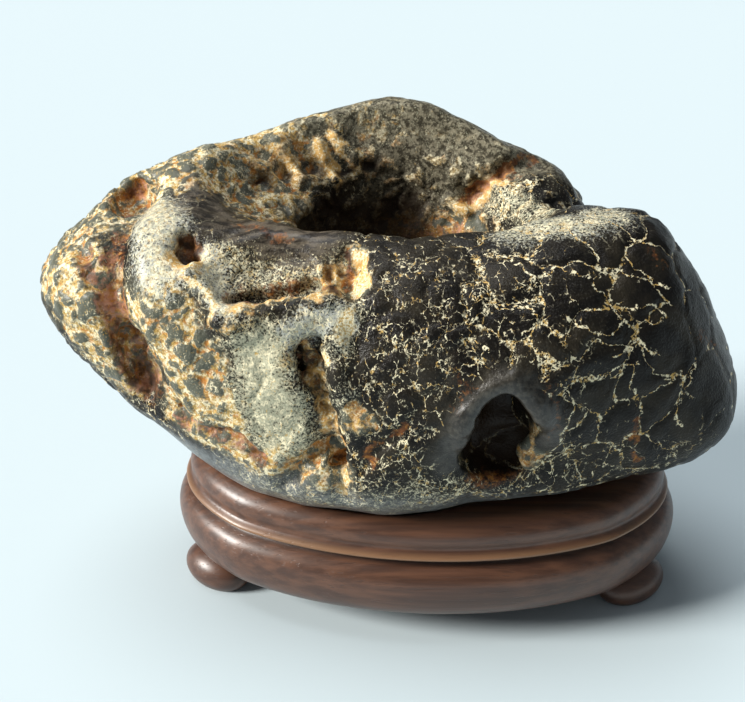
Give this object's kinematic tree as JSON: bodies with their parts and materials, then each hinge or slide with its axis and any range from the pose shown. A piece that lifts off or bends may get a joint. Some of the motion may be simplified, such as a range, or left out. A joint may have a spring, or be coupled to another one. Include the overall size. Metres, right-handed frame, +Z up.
{
  "type": "scholar's rock on a carved stand",
  "caption": "Water-worn dark stone with a deep basin in its top, seated in an oval moulded wooden stand on lug feet.",
  "frame": {"origin": "centre of the whole object's box, on the table", "axes": "+X along the stone's length, towards its low right tip; +Z up; the front with the small cave faces -Y"},
  "size_m": [0.1176, 0.0684, 0.0808],
  "materials": {
    "dark_stone": "satin polished, green-black, with a net of cream and gold mineral veins and rust in the pits",
    "carved_hardwood": "satin oiled brown hardwood, grain along the length, worn lighter on the mouldings"
  },
  "bodies": {
    "root": {"rock": "dark_stone", "stand": "carved_hardwood"}
  },
  "joints": []
}
